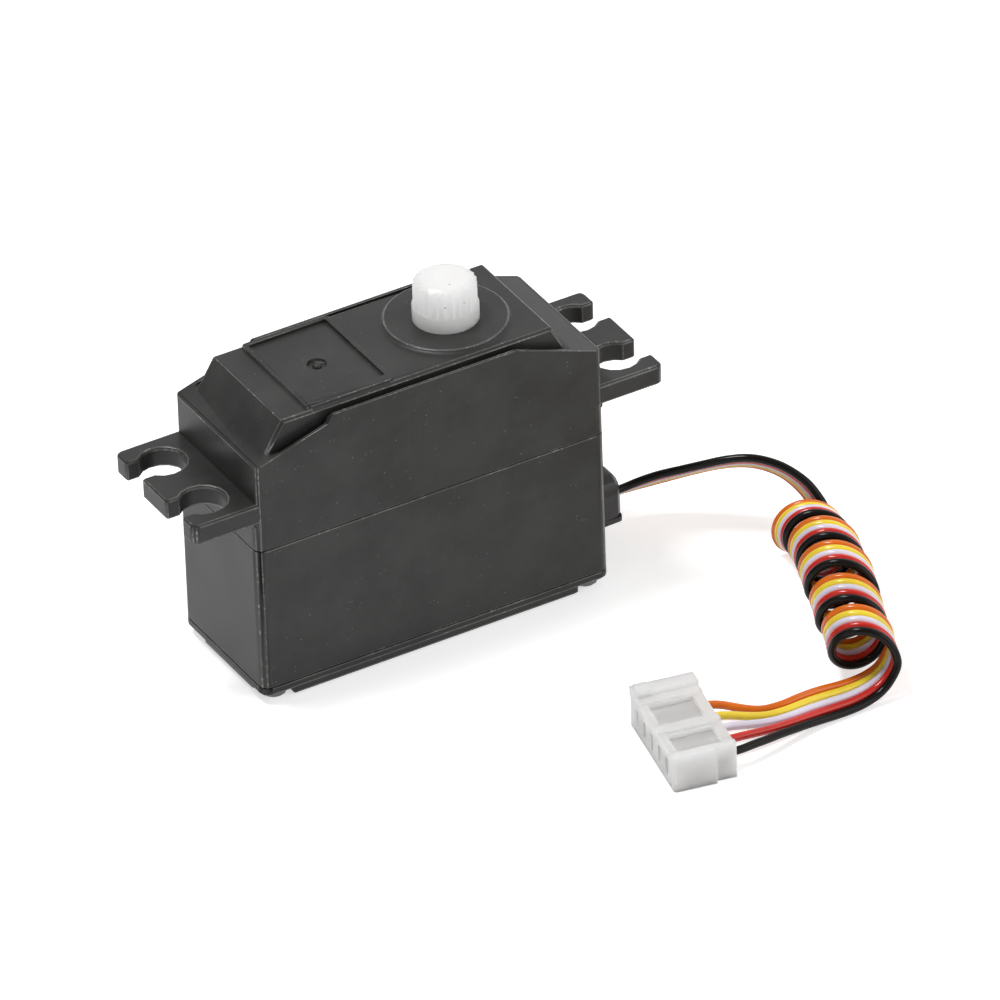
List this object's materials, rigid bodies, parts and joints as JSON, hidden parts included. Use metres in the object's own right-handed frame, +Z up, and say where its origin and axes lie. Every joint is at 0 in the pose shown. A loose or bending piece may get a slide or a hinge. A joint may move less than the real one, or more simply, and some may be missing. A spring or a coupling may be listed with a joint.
{
  "type": "servo motor",
  "caption": "Small steering servo: moulded case with slotted ears, splined output shaft, gear train, feedback potentiometer and a coiled ribbon lead with a plug.",
  "frame": {"origin": "on the surface the servo stands on, under the middle of its case", "axes": "+X along the case towards the side where the lead leaves, +Y towards the back, +Z up along the output shaft"},
  "size_m": [0.0648, 0.048, 0.0342],
  "materials": {
    "case_black": "fine spark-eroded matte black nylon",
    "white_nylon": "translucent white moulded nylon",
    "gear_nylon": "natural moulded acetal",
    "rubber_black": "soft black moulded rubber",
    "steel": "turned or drawn steel",
    "screw_dark": "dark zinc plated steel",
    "copper": "enamelled copper",
    "bronze": "rolled phosphor bronze or brass",
    "ferrite": "bonded ferrite or carbon track",
    "board": "brown phenolic",
    "plug_white": "translucent white moulded nylon",
    "wire_black": "glossy extruded vinyl",
    "wire_red": "glossy extruded vinyl",
    "wire_white": "glossy extruded vinyl, faintly lilac",
    "wire_yellow": "glossy extruded vinyl",
    "wire_orange": "glossy extruded vinyl"
  },
  "bodies": {
    "case": {"top_case": "case_black", "middle_case": "case_black", "bottom_cover": "case_black", "case_screw_1": "screw_dark", "case_screw_2": "screw_dark", "case_screw_3": "screw_dark", "case_screw_4": "screw_dark", "motor_screw_1": "screw_dark", "motor_screw_2": "screw_dark", "motor_can": "steel", "middle_axle": "steel", "pot_cover": "steel", "motor_end_cap": "white_nylon", "motor_bushing": "bronze", "motor_brush_1": "bronze", "motor_brush_2": "bronze", "motor_terminal_1": "bronze", "motor_terminal_2": "bronze", "pot_terminal_1": "bronze", "pot_terminal_2": "bronze", "pot_terminal_3": "bronze", "contact_black": "bronze", "contact_red": "bronze", "contact_white": "bronze", "contact_yellow": "bronze", "contact_orange": "bronze", "motor_magnet_1": "ferrite", "motor_magnet_2": "ferrite", "pot_track": "ferrite", "pot_body": "board", "cable_grommet": "rubber_black", "plug_housing": "plug_white", "lead_black": "wire_black", "ribbon_stretch": "wire_black", "lead_red": "wire_red", "ribbon_tail": "wire_red", "lead_white": "wire_white", "lead_yellow": "wire_yellow", "ribbon_coil": "wire_yellow", "lead_orange": "wire_orange"},
    "rotor": {"motor_shaft": "steel", "rotor_core": "steel", "rotor_winding_1": "copper", "rotor_winding_2": "copper", "rotor_winding_3": "copper", "commutator": "copper", "motor_pinion": "bronze"},
    "first_gear": {"first_gear": "gear_nylon"},
    "second_gear": {"second_gear": "gear_nylon"},
    "third_gear": {"third_gear": "gear_nylon"},
    "output": {"output_gear": "white_nylon", "pot_shaft": "steel", "pot_wiper": "bronze"}
  },
  "joints": [
    {"name": "motor_spin", "type": "hinge", "parent": "case", "child": "rotor", "pos_m": [-0.00908, 0, 0.02], "axis": [0, 0, 1], "range_deg": [-9900, 9900]},
    {"name": "first_gear_spin", "type": "hinge", "parent": "case", "child": "first_gear", "pos_m": [-0.00188, 0, 0.02], "axis": [0, 0, 1], "range_deg": [-1980.01, 1980.01]},
    {"name": "second_gear_spin", "type": "hinge", "parent": "case", "child": "second_gear", "pos_m": [0.00622, 0, 0.02], "axis": [0, 0, 1], "range_deg": [-627.81, 627.81]},
    {"name": "third_gear_spin", "type": "hinge", "parent": "case", "child": "third_gear", "pos_m": [-0.00188, 0, 0.02], "axis": [0, 0, 1], "range_deg": [-199.07, 199.07]},
    {"name": "output_spin", "type": "hinge", "parent": "case", "child": "output", "pos_m": [0.00622, 0, 0.02], "axis": [0, 0, 1], "range_deg": [-90, 90]}
  ],
  "couplings": [
    {"joint": "first_gear_spin", "follows": "motor_spin", "ratio": -0.2},
    {"joint": "second_gear_spin", "follows": "motor_spin", "ratio": 0.063415},
    {"joint": "third_gear_spin", "follows": "motor_spin", "ratio": -0.020107},
    {"joint": "output_spin", "follows": "motor_spin", "ratio": 0.0090806}
  ]
}
